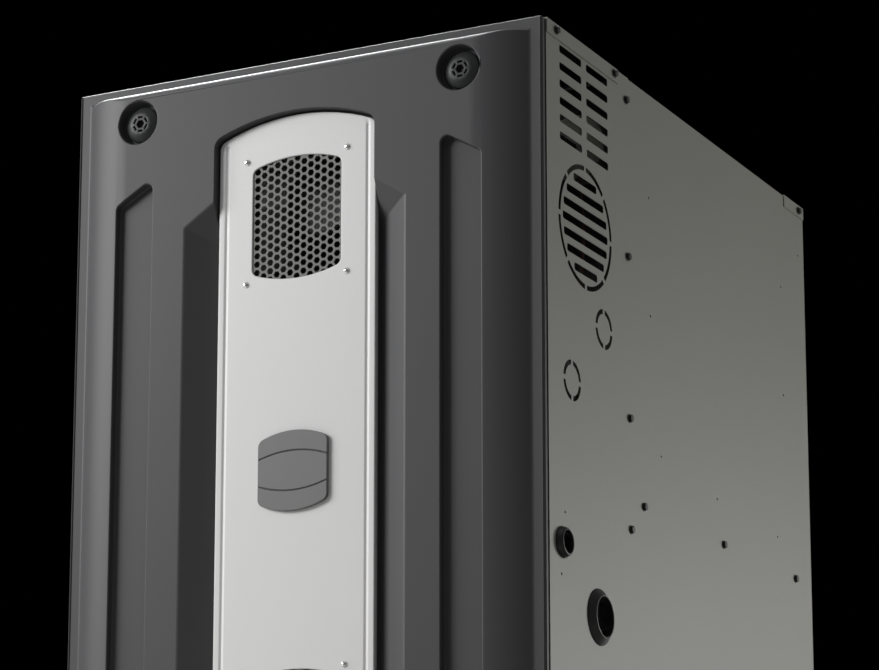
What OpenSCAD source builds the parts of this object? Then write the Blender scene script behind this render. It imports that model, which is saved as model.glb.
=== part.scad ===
// Upflow forced air gas furnace with a one-piece front door.
// X runs across the front, Y runs from the door to the back, Z is up.
// The origin is under the middle of the whole unit, on the floor.

/* [Cabinet] */
// Width across the two side panels
cabinet_w = 533.4; // [500:0.1:640]
// Height from the floor to the top
cabinet_h = 863.6; // [850:0.1:1020]
// Depth of the sheet metal cabinet without the door
cabinet_d = 702; // [690:1:780]
// Thickness of the cabinet sheet metal
sheet = 1.2; // [0.8:0.1:2]
// Width of the fold along each side panel's front edge
front_fold = 20; // [14:1:26]
// Width of the duct fold along the top edges
top_fold = 18; // [12:1:24]
// Depth of the burner compartment behind the door
vestibule_d = 198; // [194:1:210]
// Depth of the blower deck below the top
deck_drop = 439.6; // [424:0.1:444]
// Height of the return air base pan's rim
base_rim = 26; // [18:1:32]
// Width of the base pan's flat border round the return opening
base_border = 62; // [40:1:80]
// Height of the base pan's front rail
base_rail = 58; // [50:1:66]
// Depth of the top cover over the burner compartment
top_cover_d = 171; // [160:1:180]
// Height of the top cover's side flanges
top_flange_h = 15; // [10:1:20]
// Height of the top cover's front header
header_h = 76; // [70:1:84]

/* [Side openings] */
// Length of one louvre slot
louvre_l = 52; // [40:1:58]
// Height of one louvre slot
louvre_h = 8; // [6:0.1:9]
// Vertical distance between louvre slots
louvre_pitch = 17.9; // [14:0.1:20]
// Rows of louvre slots
louvre_rows = 6; // [2:1:6]
// Diameter of the louvred vent knockout
vent_d = 127; // [110:1:132]
// Width of a knockout's cut line
slit_w = 5; // [2:0.1:6]
// Diameter of the two small knockouts
knockout_d = 41; // [30:1:46]
// Outer diameter of the gas pipe grommet
gas_grommet_d = 56; // [50:1:62]
// Hole through the gas pipe grommet
gas_hole_d = 39; // [28:1:42]
// Outer diameter of the wire grommet
wire_grommet_d = 31; // [28:1:36]
// Hole through the wire grommet
wire_hole_d = 22; // [14:1:23]
// How far a grommet stands out of the side
grommet_out = 7; // [4:0.5:10]

/* [Door] */
// Height of the bulged face above the door's border
bulge_h = 19; // [17:0.5:26]
// Width of the flat border round the bulge
border_w = 13.5; // [9:0.5:16]
// Width of the curved flank at each side of the bulge
flank_w = 58; // [40:1:62]
// Wall of the moulded door shell
door_wall = 3; // [2:0.1:3.6]
// Depth of the door's outer rim
rim_t = 8; // [7.5:0.5:10]
// Gap between the closed door and the cabinet
door_gap = 0.8; // [0.6:0.1:2]
// Gap under the door
door_foot = 8; // [4:1:14]
// Half width of the central channel at the face
channel_half = 126; // [120:1:132]
// Depth of the central channel below the face
channel_depth = 22; // [19:0.5:23]
// Depth of the long side pockets
pocket_depth = 9; // [5:0.5:11]
// Width of the long side pockets
pocket_w = 43; // [30:1:46]

/* [Trim strip] */
// Width of the centre strip
strip_w = 179; // [170:1:184]
// Height of the centre strip
strip_h = 735; // [700:1:745]
// How far the strip's face lies below the door's face
strip_drop = 8; // [6:0.5:10]
// Depth of the strip's turned edge
strip_edge = 6; // [4:0.5:7]
// Thickness of the strip
strip_t = 1.5; // [1:0.1:2]
// Width of a grille window in the strip
window_w = 101; // [90:1:110]
// Height of a grille window in the strip
window_h = 127; // [110:1:134]
// Sideways distance between grille holes
hole_pitch = 7.6; // [7:0.1:9]
// Width across the corners of one grille hole
hole_d = 7.2; // [5:0.1:7.8]
// Width of the badge
badge_w = 78; // [60:1:90]
// Height of the badge
badge_h = 81; // [60:1:90]

/* [Latches] */
// Distance of each latch knob from the cabinet's side
knob_side = 82.7; // [77:0.1:88]
// Distance of each latch knob below the top
knob_drop = 47; // [40:0.5:52]
// Diameter of the round pocket that holds a knob
knob_pocket_d = 46; // [44:1:50]
// Diameter of a latch knob
knob_d = 38.5; // [36:0.5:42]
// Diameter of a latch stud
stud_d = 9; // [7:0.5:10]

/* [Blower] */
// Diameter of the blower wheel
wheel_d = 254; // [220:1:260]
// Width of the blower wheel
wheel_w = 203; // [180:1:210]
// Blades on the blower wheel
blade_count = 40; // [24:1:44]
// Width of the blower housing
housing_w = 262; // [250:1:280]
// Diameter of the blower motor
motor_d = 140; // [120:1:146]
// Length of the blower motor
motor_l = 128; // [110:1:134]
// Diameter of the blower shaft
shaft_d = 12.7; // [10:0.1:16]

/* [Heat exchanger] */
// Number of heat exchanger cells and burners
cells = 4; // [4:1:4]
// Distance between cells
cell_pitch = 100; // [92:1:104]
// Outer diameter of a heat exchanger tube
tube_d = 44; // [38:1:46]
// Wall of a heat exchanger tube
tube_wall = 1.5; // [1:0.1:2.5]
// Vertical distance between the passes of a tube
pass_pitch = 75; // [70:1:78]
// Height of the burners above the blower deck
burner_up = 76; // [68:1:80]

/* [Draft inducer] */
// Outer radius of the inducer housing
inducer_r = 74; // [68:1:78]
// Depth of the inducer housing
inducer_d = 46; // [40:1:50]
// Diameter of the inducer motor
inducer_motor_d = 82; // [70:1:90]
// Outer diameter of the flue collar
flue_d = 100; // [90:1:102]

/* [Hidden] */
$fn = 48;

// One overrun serves every cut
cut = 1;
// Radial play of a shaft or button in its bearing
running = 0.05;
// Gap between parts that pass each other
clear = 0.4;
// Radius of the door's moulded edges
mould_r = 9;

half_w = cabinet_w / 2;
total_d = cabinet_d + door_gap + rim_t + bulge_h;
y_back = total_d / 2;
y_front = y_back - cabinet_d;
door_back = y_front - door_gap;
border_y = door_back - rim_t;
face_y = border_y - bulge_h;
y_vest = y_front + vestibule_d;
inner_w = half_w - sheet;
panel_h = cabinet_h - sheet;
knob_z = cabinet_h - knob_drop;
knob_x = half_w - knob_side;
deck_z = cabinet_h - deck_drop;
burner_z = deck_z + burner_up;

// Places of the side openings, measured back from the door's border and down from the top
function from_top(list) = [for (p = list) [p[0], cabinet_h - p[1]]];
louvre_drop = 22;
louvre_top = cabinet_h - louvre_drop;
louvre_cols = [65.5, 129];
vent_drop = 190.9;
vent_place = [98, cabinet_h - vent_drop];
vent_slots = 3;
vent_slot_pitch = 15.3;
vent_slot_r = 10.2;
slot_r = 2.6;
knockout_bridge = 4.6;
knockout_places = from_top([[140.2, 284.6], [63.2, 354.5]]);
ports = from_top([[121.5, 578.3], [37.5, 519.3]]);
gas_place = ports[0];
wire_place = ports[1];
// These screws hold the vestibule panel, just in front of it
screw_forward = 5.8;
screw_places = from_top([for (drop = [25.6, 193.3, 362.5, 476.7]) [y_vest - border_y - screw_forward, drop]]);
deck_screw_front = 27.4;
deck_screw_back = 50.9;
deck_screw_ends = [y_vest - border_y + deck_screw_front, y_back - border_y - deck_screw_back];
deck_screws = [deck_screw_ends[0], (deck_screw_ends[0] + deck_screw_ends[1]) / 2, deck_screw_ends[1]];
deck_screw_drop = 7.4;
pin_places = from_top([[257.8, 114.5], [258, 241.6], [281.2, 385.2], [431.7, 400.1], [608, 408.5],
    [636.2, 240.2], [635.6, 113.3], [692.8, 61.2], [44.4, 488.6], [35.2, 550.3]]);
pin_r = 1.4;
screw_hole_r = 1.9;
gas_lip = 5;
wire_lip = 2.5;
grommet_hidden = 3;

// Small sizes of the base, deck and inner panels
panel_flange = 16;
hook_slot = [34, 4.4];
hook_x = 150;
hook_z = 36;
rail_w = 45;
rail_tab = [61, 14];
thumb_r = 7;
thumb_t = 5;

function arc(r, from, to, steps) = [for (i = [0:steps]) let (a = from + (to - from) * i / steps)
    [r * cos(a), r * sin(a)]];
function shift(pts, by) = [for (p = pts) p + by];
function flip(pts) = [for (i = [len(pts) - 1:-1:0]) [-pts[i][0], pts[i][1]]];

// A box between two opposite corners
module span(low, high) {
    translate(low) cube(high - low);
}
module rod_x(r, from, to) { translate([from, 0, 0]) rotate([0, 90, 0]) cylinder(r = r, h = to - from); }
module rod_y(r, from, to) { translate([0, from, 0]) rotate([-90, 0, 0]) cylinder(r = r, h = to - from); }
module rod_z(r, from, to) { translate([0, 0, from]) cylinder(r = r, h = to - from); }
module tube_y(r, bore, from, to) {
    difference() {
        rod_y(r, from, to);
        rod_y(bore, from - cut, to + cut);
    }
}
// Turns a drawing in Y and Z into a plate that starts at X zero and is t thick
module plate_x(t) { rotate([90, 0, 90]) linear_extrude(t) children(); }
// Turns a drawing in X and Z into a plate that starts at Y zero and is t thick
module plate_y(t) { translate([0, t, 0]) rotate([90, 0, 0]) linear_extrude(t) children(); }
module both_sides() {
    children();
    mirror([1, 0, 0]) children();
}
module round_box_2d(w, h, r) {
    square([w - 2 * r, h], center = true);
    square([w, h - 2 * r], center = true);
    for (sx = [-1, 1], sz = [-1, 1]) translate([sx * (w / 2 - r), sz * (h / 2 - r)]) circle(r);
}
// A ring of cut lines with bridges that still hold the slug
module knockout_2d(d, bridges) {
    difference() {
        circle(d = d);
        circle(d = d - 2 * slit_w);
        for (i = [0:bridges / 2 - 1]) rotate(i * 360 / bridges) square([d + cut, knockout_bridge], center = true);
    }
}

// Every opening in a side panel, drawn with the door's border plane as Y zero
module side_cuts_2d() {
    for (y = louvre_cols, i = [0:louvre_rows - 1])
        translate([y, louvre_top - i * louvre_pitch]) round_box_2d(louvre_l, louvre_h, slot_r);
    translate(vent_place) {
        knockout_2d(vent_d, 8);
        for (i = [-vent_slots:vent_slots]) let (z = i * vent_slot_pitch)
            translate([0, z]) round_box_2d(2 * sqrt(pow(vent_d / 2 - vent_slot_r, 2) - z * z), louvre_h, slot_r);
    }
    for (p = knockout_places) translate(p) knockout_2d(knockout_d, 4);
    translate(gas_place) circle(d = gas_grommet_d - 2 * gas_lip);
    translate(wire_place) circle(d = wire_grommet_d - 2 * wire_lip);
    for (p = screw_places) translate(p) circle(screw_hole_r);
    for (y = deck_screws) translate([y, deck_z - deck_screw_drop]) circle(screw_hole_r);
    for (p = cover_screws) translate(p) circle(screw_hole_r);
    for (p = pin_places) translate(p) circle(pin_r);
}
// The right side: a plate with a fold at the front, and one at the top for the supply duct
module side_panel() {
    difference() {
        union() {
            span([inner_w, y_front, 0], [half_w, y_back - sheet, panel_h]);
            span([half_w - front_fold, y_front, 0], [half_w, y_front + sheet, panel_h - header_h - clear]);
            span([half_w - top_fold, y_front + sheet + clear, panel_h - sheet],
                [half_w, y_back - sheet, panel_h]);
        }
        translate([inner_w - cut, border_y, 0]) plate_x(sheet + 2 * cut) side_cuts_2d();
        span([half_w - front_fold - cut, y_front - cut, -cut],
            [inner_w, y_front + sheet + cut, base_rail + clear]);
    }
}
module right_side_panel() { color("#75766c") side_panel(); }
module left_side_panel() { color("#75766c") mirror([1, 0, 0]) side_panel(); }

module back_panel() {
    color("#75766c") difference() {
        union() {
            span([-half_w, y_back - sheet, 0], [half_w, y_back, panel_h]);
            both_sides() span([inner_w - panel_flange, y_back - 2 * sheet, base_rim + clear],
                [inner_w, y_back - sheet, deck_z - panel_flange - clear]);
        }
        for (x = [-1, 1], z = [deck_z - deck_screw_drop]) translate([x * half_w / 2, y_back - sheet, z])
            rod_y(screw_hole_r, -cut, sheet + cut);
    }
}

// The base: a flat border round the return air opening, a rim, and the front rail for the door's hooks
module base_pan() {
    color("#8b8d88") difference() {
        union() {
            difference() {
                span([-inner_w, y_front, 0], [inner_w, y_back - 2 * sheet, base_rim]);
                span([-inner_w + sheet, y_front + sheet, sheet],
                    [inner_w - sheet, y_back - 3 * sheet, base_rim + cut]);
            }
            span([-inner_w, y_front, 0], [inner_w, y_front + sheet, base_rail]);
            return_hole(sheet, panel_flange);
        }
        return_hole(0, panel_flange + cut);
        for (x = [-1, 1]) translate([x * hook_x, y_front, hook_z]) span(
            [-hook_slot[0] / 2, -cut, -hook_slot[1] / 2], [hook_slot[0] / 2, sheet + cut, hook_slot[1] / 2]);
    }
}
module return_hole(grow, top) {
    span([-inner_w + base_border - grow, y_vest + base_border / 2 - grow, grow > 0 ? 0 : -cut],
        [inner_w - base_border + grow, y_back - base_border + grow, top]);
}

// The top cover over the burner compartment, with side flanges outside the panels and a front header
module top_cover() {
    color("#75766c") difference() {
        union() {
            span([-half_w, y_front, panel_h], [half_w, y_vest + sheet, cabinet_h]);
            both_sides() span([half_w, y_front, cabinet_h - top_flange_h],
                [half_w + sheet, y_front + top_cover_d, cabinet_h]);
            span([-inner_w, y_front, panel_h - header_h], [inner_w, y_front + sheet, cabinet_h]);
        }
        translate([flue_x, flue_y, 0]) rod_z(flue_hole_r, panel_h - cut, cabinet_h + cut);
        for (x = [-1, 1]) translate([x * knob_x, y_front, knob_z]) rod_y(receptacle_bore, -cut, sheet + cut);
        for (p = cover_screws) translate([0, border_y + p[0], p[1]])
            rod_x(screw_hole_r, -half_w - sheet - cut, half_w + sheet + cut);
    }
}
// The rear rail carries the duct, and its corner tabs wrap round the side panels
module rear_top_rail() {
    color("#75766c") difference() {
        union() {
            span([-half_w - sheet, y_back - rail_w, panel_h], [half_w + sheet, y_back, cabinet_h]);
            both_sides() span([half_w, y_back - rail_tab[0], cabinet_h - rail_tab[1]],
                [half_w + sheet, y_back, cabinet_h]);
        }
        for (p = cover_screws) translate([0, border_y + p[0], p[1]])
            rod_x(screw_hole_r, -half_w - sheet - cut, half_w + sheet + cut);
    }
}

// The deck that parts the blower from the heat exchanger, with side flanges turned down
module blower_deck() {
    color("#9a9c97") difference() {
        union() {
            span([-inner_w, y_vest + sheet, deck_z - sheet], [inner_w, y_back - sheet, deck_z]);
            both_sides() span([inner_w - sheet, y_vest + sheet, deck_z - panel_flange],
                [inner_w, y_back - 2 * sheet, deck_z]);
        }
        outlet_space(0, deck_z - sheet - cut, deck_z + cut);
        both_sides() for (y = deck_screws) translate([0, border_y + y, deck_z - deck_screw_drop])
            rod_x(screw_hole_r, inner_w - sheet - cut, inner_w + cut);
    }
}
module outlet_space(grow, low, high) {
    span([-housing_in - grow, cutoff_y - grow, low], [housing_in + grow, scroll_back + grow, high]);
}

// The wall behind the burners, with a port for every cell's inlet and outlet
module vestibule_panel() {
    color("#9a9c97") difference() {
        union() {
            span([-inner_w, y_vest, deck_z - panel_flange], [inner_w, y_vest + sheet, panel_h - sheet]);
            both_sides() span([inner_w - sheet, y_vest - panel_flange, deck_z],
                [inner_w, y_vest, panel_h - sheet]);
        }
        for (i = [0:cells - 1], z = [burner_z, outlet_z]) translate([cell_x(i), y_vest, z])
            rod_y(tube_d / 2 - tube_wall, -cut, sheet + cut);
        translate([limit_place[0], y_vest, limit_place[1]]) rod_y(limit_bore, -cut, sheet + cut);
        side_screw_holes();
    }
}
// The inner door of the blower compartment, with a turned rim and two thumb screws
module blower_door() {
    top = deck_z - panel_flange - clear;
    color("#9a9c97") difference() {
        union() {
            span([-inner_w + sheet, y_vest, sheet + seat], [inner_w - sheet, y_vest + sheet, top]);
            both_sides() span([inner_w - 2 * sheet, y_vest - panel_flange, sheet + seat],
                [inner_w - sheet, y_vest, top]);
            for (x = [-1, 1]) translate([x * hook_x, y_vest, top - 2 * thumb_r])
                rod_y(thumb_r, -thumb_t, 0);
        }
        side_screw_holes();
    }
}
module side_screw_holes() {
    for (p = screw_places) translate([0, border_y + p[0], p[1]]) both_sides()
        rod_x(screw_hole_r, inner_w - 3 * sheet, inner_w + cut);
}

function cell_x(i) = (i - (cells - 1) / 2) * cell_pitch;
outlet_z = burner_z + 3 * pass_pitch;
bend_r = pass_pitch / 2;
tube_r = tube_d / 2;
front_bend_gap = 5;
rear_bend_gap = 13;
front_bend_y = y_vest + bend_r + tube_r + front_bend_gap;
rear_bend_y = y_back - sheet - bend_r - tube_r - rear_bend_gap;

module tube_section() {
    difference() {
        circle(tube_r);
        circle(tube_r - tube_wall);
    }
}
module tube_run(from, to, z) {
    translate([0, 0, z]) tube_y(tube_r, tube_r - tube_wall, from, to);
}
module tube_bend(y, z, turn) {
    translate([0, y, z + bend_r]) rotate([0, 90, 0]) rotate(turn)
        rotate_extrude(angle = 180) translate([bend_r, 0]) tube_section();
}
// One cell: a tube that goes back and forth four times between burner and collector
module heat_cell(i) {
    color("#a9a296") translate([cell_x(i), 0, 0]) {
        tube_run(y_vest + sheet, rear_bend_y, burner_z);
        tube_bend(rear_bend_y, burner_z, 0);
        tube_run(front_bend_y, rear_bend_y, burner_z + pass_pitch);
        tube_bend(front_bend_y, burner_z + pass_pitch, 180);
        tube_run(front_bend_y, rear_bend_y, burner_z + 2 * pass_pitch);
        tube_bend(rear_bend_y, burner_z + 2 * pass_pitch, 0);
        tube_run(y_vest + sheet, rear_bend_y, outlet_z);
    }
}

// Small sizes of the burner group
burner_r = 14;
burner_mouth = 18;
burner_throat = 10;
burner_skin = 1;
burner_l = 100;
burner_gap = 8;
throat_share = 0.3;
body_share = 0.5;
rack_back = 58;
rack_half = 190;
rack_low = 26;
rack_high = 48;
rack_strap = [12, 2];
seat = 0.2;
pipe_r = 10.5;
pipe_gap = 14;
orifice_r = 5;
orifice_bore = 1.2;
rack_y = y_vest - rack_back;
mouth_y = y_vest - burner_gap - burner_l;
pipe_y = mouth_y - pipe_gap - pipe_r;
valve_end = -178;
pipe_end = 176;
switch_x = 100;
switch_up = 34;
switch_r = 9;
switch_t = 12;
button_r = 3;
button_in = 4;
button_out = 3.5;
button_bore = 7;
probe_y = 35;

// Four inshot burners: each a hollow venturi that is wide at the gas end
module burners() {
    color("#b7a98c") for (i = [0:cells - 1]) translate([cell_x(i), mouth_y, burner_z]) rotate([-90, 0, 0])
        rotate_extrude() polygon([
            [burner_mouth - burner_skin, 0], [burner_mouth, 0],
            [burner_throat + burner_skin, burner_l * throat_share],
            [burner_r, burner_l * body_share], [burner_r, burner_l], [burner_r - burner_skin, burner_l],
            [burner_r - burner_skin, burner_l * body_share], [burner_throat, burner_l * throat_share]]);
}
// The bracket that carries burners, manifold, switches, igniter and flame sensor
module burner_rack() {
    color("#9a9c97") difference() {
        union() {
            span([-rack_half, rack_y, burner_z - rack_low], [rack_half, rack_y + sheet, burner_z + rack_high]);
            both_sides() span([rack_half - sheet, rack_y, burner_z - rack_low],
                [rack_half, y_vest, burner_z + rack_low]);
            for (x = [-cell_pitch, 0, cell_pitch])
                translate([x, 0, burner_z + pipe_r + seat]) span([-rack_strap[0] / 2, pipe_y, 0],
                    [rack_strap[0] / 2, rack_y, rack_strap[1]]);
        }
        for (i = [0:cells - 1]) translate([cell_x(i), rack_y, burner_z])
            rod_y(burner_r + seat, -cut, sheet + cut);
        translate([0, y_vest - probe_y, burner_z]) rod_x(probe_r + clear, -rack_half - cut, rack_half + cut);
    }
}
module gas_manifold() {
    color("#4b4b4a") {
        translate([0, pipe_y, burner_z]) rod_x(pipe_r, valve_end, pipe_end);
        for (i = [0:cells - 1]) translate([cell_x(i), pipe_y, burner_z]) difference() {
            rod_y(orifice_r, 0, pipe_r + pipe_gap + button_in);
            rod_y(orifice_bore, pipe_r + cut, pipe_r + pipe_gap + button_in + cut);
        }
    }
}

valve_w = 66;
valve_d = 60;
valve_h = 62;
valve_low = 32;
valve_edge = 6;
valve_cap = [40, 14];
inlet_r = 10.3;
inlet_l = 16;
inlet_boss = 14;
inlet_drop = 8;
valve_x = valve_end - valve_w / 2;
valve_front = pipe_y - valve_d / 2;
valve_knob_r = 11;
valve_knob_t = 12;
valve_knob_off = 12;
valve_knob_x = valve_x - valve_knob_off;
valve_knob_z = burner_z + valve_knob_off;
valve_stem_r = 3;
valve_stem_l = 9;
valve_rib_w = 3;
valve_rib_share = 0.9;

// The gas valve: a cast body, a cap, a threaded inlet below, and an on-off knob on its front
module gas_valve() {
    color("#a4a6a4") difference() {
        union() {
            translate([valve_x, 0, burner_z - valve_low + valve_h / 2]) translate([0, valve_front, 0])
                plate_y(valve_d) round_box_2d(valve_w, valve_h, valve_edge);
            translate([valve_x, pipe_y, 0]) rod_z(valve_cap[0] / 2, burner_z - valve_low + valve_h - cut,
                burner_z - valve_low + valve_h + valve_cap[1]);
            translate([valve_x, pipe_y, burner_z - valve_low]) rod_z(inlet_boss, -inlet_drop, cut);
        }
        translate([valve_x, pipe_y, burner_z - valve_low - inlet_drop]) rod_z(inlet_r, -cut, inlet_l);
        translate([valve_knob_x, valve_front, valve_knob_z])
            rod_y(valve_stem_r + running, -cut, valve_stem_l + clear);
    }
}
module gas_valve_knob() {
    color("#2c2d2e") translate([valve_knob_x, valve_front, valve_knob_z]) {
        rod_y(valve_knob_r, -valve_knob_t, -clear);
        rod_y(valve_stem_r, -clear - cut, valve_stem_l);
        span([-valve_rib_w / 2, -valve_knob_t - valve_rib_w, -valve_knob_r * valve_rib_share],
            [valve_rib_w / 2, -valve_knob_t + cut, valve_knob_r * valve_rib_share]);
    }
}
probe_r = 2.5;
sensor_r = 1.5;
probe_reach = 4;
probe_tip = burner_r + probe_reach;
block_l = 13;
block_half = 6;
// The hot surface igniter and the flame sensor: a ceramic block outside the rack and a rod through it
module probe(r) {
    tip = cell_x(cells - 1) + probe_tip;
    translate([0, y_vest - probe_y, burner_z]) {
        rod_x(r, tip, rack_half + block_l);
        span([rack_half, -block_half, -block_half], [rack_half + block_l, block_half, block_half]);
    }
}
module igniter() { color("#d9d5c8") mirror([1, 0, 0]) probe(probe_r); }
module flame_sensor() { color("#e2dfd6") probe(sensor_r); }

module rollout_switches() {
    color("#25262a") for (s = [-1, 1]) translate([s * switch_x, rack_y, burner_z + switch_up]) difference() {
        rod_y(switch_r, -switch_t, 0);
        rod_y(button_r + running, -switch_t - cut, -switch_t + button_bore);
    }
}
module reset_button(s) {
    color("#b43a2c") translate([s * switch_x, rack_y - switch_t, burner_z + switch_up])
        rod_y(button_r, -button_out, button_in);
}

// Small sizes of the draft inducer group
collector_d = 64;
collector_half = 178;
collector_h = 72;
collector_hole = 34;
inducer_wall = 2.5;
inducer_inlet = 30;
inducer_back = y_vest - collector_d;
inducer_y = inducer_back - inducer_d / 2;
inducer_z = outlet_z;
inducer_neck = 96;
inducer_neck_in = 18;
fan_r = 52;
fan_t = 24;
fan_blades = 24;
fan_blade_l = 16;
fan_blade_t = 1.2;
fan_shaft_r = 4;
inducer_motor_l = 60;
motor_rim = 5;
flue_x = (inducer_neck_in + inducer_r) / 2;
flue_y = inducer_y;
flue_wall = 1.5;
flue_gap = 6;
flue_hole_r = flue_d / 2 + flue_gap;
flue_plate = 2;
flue_down = 2;
hose_r = 3.6;
hose_bend = 18;
nipple_r = 2.4;
nipple_l = 9;
pressure_drop = 74;
pressure_in = 50.7;
pressure_place = [half_w - pressure_in, cabinet_h - pressure_drop];
pressure_r = 34;
pressure_t = 24;
hose_drop = 25;
hose_z = inducer_z - hose_drop;
nipple_share = 0.8;

module collector_box() {
    color("#9a9c97") difference() {
        span([-collector_half, inducer_back, outlet_z - collector_h / 2],
            [collector_half, y_vest, outlet_z + collector_h / 2]);
        span([-collector_half + sheet, inducer_back + sheet, outlet_z - collector_h / 2 + sheet],
            [collector_half - sheet, y_vest + cut, outlet_z + collector_h / 2 - sheet]);
        translate([0, inducer_back, inducer_z]) rod_y(collector_hole, -cut, sheet + cut);
    }
}
module inducer_shape(inset) {
    circle(inducer_r - inset);
    translate([inducer_neck_in + inset, 0]) square([inducer_r - inducer_neck_in - 2 * inset, inducer_neck]);
}
// The draft inducer: a scroll with a neck that turns up into the flue collar
module inducer_housing() {
    neck_top = inducer_z + inducer_neck;
    color("#3b3c3e") difference() {
        union() {
            translate([0, inducer_back - inducer_d, inducer_z]) plate_y(inducer_d) inducer_shape(0);
            translate([0, inducer_y, hose_z]) rod_x(nipple_r, inducer_r * nipple_share, inducer_r + nipple_l);
        }
        intersection() {
            translate([0, inducer_back - inducer_d + inducer_wall, inducer_z])
                plate_y(inducer_d - 2 * inducer_wall) inducer_shape(inducer_wall);
            span([-half_w, y_front, 0], [half_w, y_vest, neck_top + cut]);
        }
        translate([inducer_neck_in, inducer_back - inducer_d, neck_top] + inducer_wall * [1, 1, -1])
            span([0, 0, -cut], [inducer_r - inducer_neck_in - 2 * inducer_wall, inducer_d - 2 * inducer_wall,
                inducer_wall + cut]);
        translate([0, inducer_back, inducer_z]) rod_y(inducer_inlet, -inducer_wall - cut, cut);
        translate([0, inducer_back - inducer_d, inducer_z])
            rod_y(fan_shaft_r + clear, -cut, inducer_wall + cut);
    }
}
module inducer_wheel() {
    color("#57585a") translate([0, inducer_y, inducer_z]) {
        rod_y(fan_r, -fan_t / 2, -fan_t / 2 + fan_blade_t * 2);
        for (i = [0:fan_blades - 1]) rotate([0, i * 360 / fan_blades, 0])
            span([fan_r - fan_blade_l, fan_blade_t - fan_t / 2, -fan_blade_t / 2],
                [fan_r - fan_blade_t, fan_t / 2, fan_blade_t / 2]);
        rod_y(fan_shaft_r * 2, fan_blade_t - fan_t / 2, fan_t / 4);
        rod_y(fan_shaft_r, -inducer_d / 2 - inducer_motor_l / 2, 0);
    }
}
module inducer_motor() {
    r = inducer_motor_d / 2;
    color("#2b2c2f") translate([0, inducer_back - inducer_d, inducer_z]) difference() {
        rotate([90, 0, 0]) rotate_extrude() polygon(concat([[0, 0], [r, 0]],
            shift(arc(motor_rim, 0, 90, 6), [r - motor_rim, inducer_motor_l - motor_rim]),
            [[0, inducer_motor_l]]));
        rod_y(fan_shaft_r + running, -inducer_motor_l / 2 - clear, cut);
    }
}
module flue_collar() {
    r = flue_d / 2;
    low = inducer_z + inducer_neck;
    color("#9a9c97") translate([flue_x, flue_y, 0]) difference() {
        union() {
            span([-r, -r, low], [r, r, low + flue_plate]);
            rod_z(r, low, cabinet_h - flue_down);
        }
        rod_z(r - flue_wall, low + flue_plate, cabinet_h + cut);
        span([inducer_neck_in - flue_x + inducer_wall, -inducer_d / 2 + inducer_wall, low - cut],
            [inducer_r - flue_x - inducer_wall, inducer_d / 2 - inducer_wall, low + flue_plate + cut]);
    }
}
// The pressure switch is a flat round can on the vestibule panel, with a hose nipple on its front
module pressure_switch() {
    color("#c9c6bb") translate([pressure_place[0], y_vest, pressure_place[1]]) {
        rod_y(pressure_r, -pressure_t, 0);
        rod_y(nipple_r, -pressure_t - nipple_l, 0);
    }
}
module hose_section() {
    difference() {
        circle(hose_r);
        circle(nipple_r + running);
    }
}
// The rubber hose: forward from the switch, down, then across to the inducer
module pressure_hose() {
    x = pressure_place[0];
    z = pressure_place[1];
    start = y_vest - pressure_t - seat;
    low = hose_z + hose_bend;
    color("#2a2a2c") {
        translate([x, 0, z]) tube_y(hose_r, nipple_r + running, inducer_y + hose_bend, start);
        translate([x, inducer_y + hose_bend, z - hose_bend]) rotate([0, -90, 0]) rotate(-90)
            rotate_extrude(angle = 90) translate([hose_bend, 0]) hose_section();
        translate([x, inducer_y, 0]) difference() {
            rod_z(hose_r, low, z - hose_bend);
            rod_z(nipple_r + running, low - cut, z - hose_bend + cut);
        }
        translate([x - hose_bend, inducer_y, low]) rotate([90, 0, 0]) rotate(-90)
            rotate_extrude(angle = 90) translate([hose_bend, 0]) hose_section();
        translate([0, inducer_y, hose_z]) difference() {
            rod_x(hose_r, inducer_r + seat, x - hose_bend);
            rod_x(nipple_r + running, inducer_r - cut, x - hose_bend + cut);
        }
    }
}

// Small sizes of the blower group
wheel_r = wheel_d / 2;
housing_in = housing_w / 2 - sheet;
scroll_gap = 13;
scroll_growth = 65;
scroll_start = 130;
scroll_steps = 36;
blower_setback = 227;
blower_rise = 205;
blower_y = y_vest + blower_setback;
blower_z = deck_z - blower_rise;
blower_top = deck_z - sheet;
eye_r = 100;
eye_lip = 14;
wheel_ring = [12, 4];
blade_depth = 15;
blade_t = 1.1;
blade_curve_share = 0.36;
hub_r = 20;
hub_l = 28;
disc_t = 1.6;
motor_start = 14;
motor_edge = 10;
shaft_in = 46;
band_t = 2;
band_w = 20;
arm_t = 3;
arm_w = 16;
arm_reach = 12;

function scroll_r(a) = wheel_r + scroll_gap + scroll_growth * (a - scroll_start) / (360 - scroll_start);
cutoff_y = blower_y + cos(scroll_start) * scroll_r(scroll_start);
scroll_back = blower_y + scroll_r(360);

module scroll_2d(inset, top) {
    polygon(concat([for (i = [0:scroll_steps]) let (a = scroll_start + (360 - scroll_start) * i / scroll_steps)
            [blower_y + (scroll_r(a) - inset) * cos(a), blower_z + (scroll_r(a) - inset) * sin(a)]],
        [[scroll_back - inset, top], [cutoff_y + inset, top]]));
}
// The blower housing: a spiral wrap between two side plates with round inlets, open at the top
module blower_housing() {
    color("#9a9c97") {
        difference() {
            translate([-housing_w / 2, 0, 0]) plate_x(housing_w) scroll_2d(0, blower_top);
            translate([-housing_in, 0, 0]) plate_x(2 * housing_in) scroll_2d(sheet, blower_top + cut);
            translate([0, blower_y, blower_z]) rod_x(eye_r, -housing_w, housing_w);
        }
        both_sides() translate([0, blower_y, blower_z]) difference() {
            rod_x(eye_r + sheet, housing_in - eye_lip, housing_in + sheet);
            rod_x(eye_r, housing_in - eye_lip - cut, housing_in + sheet + cut);
        }
    }
}
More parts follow.
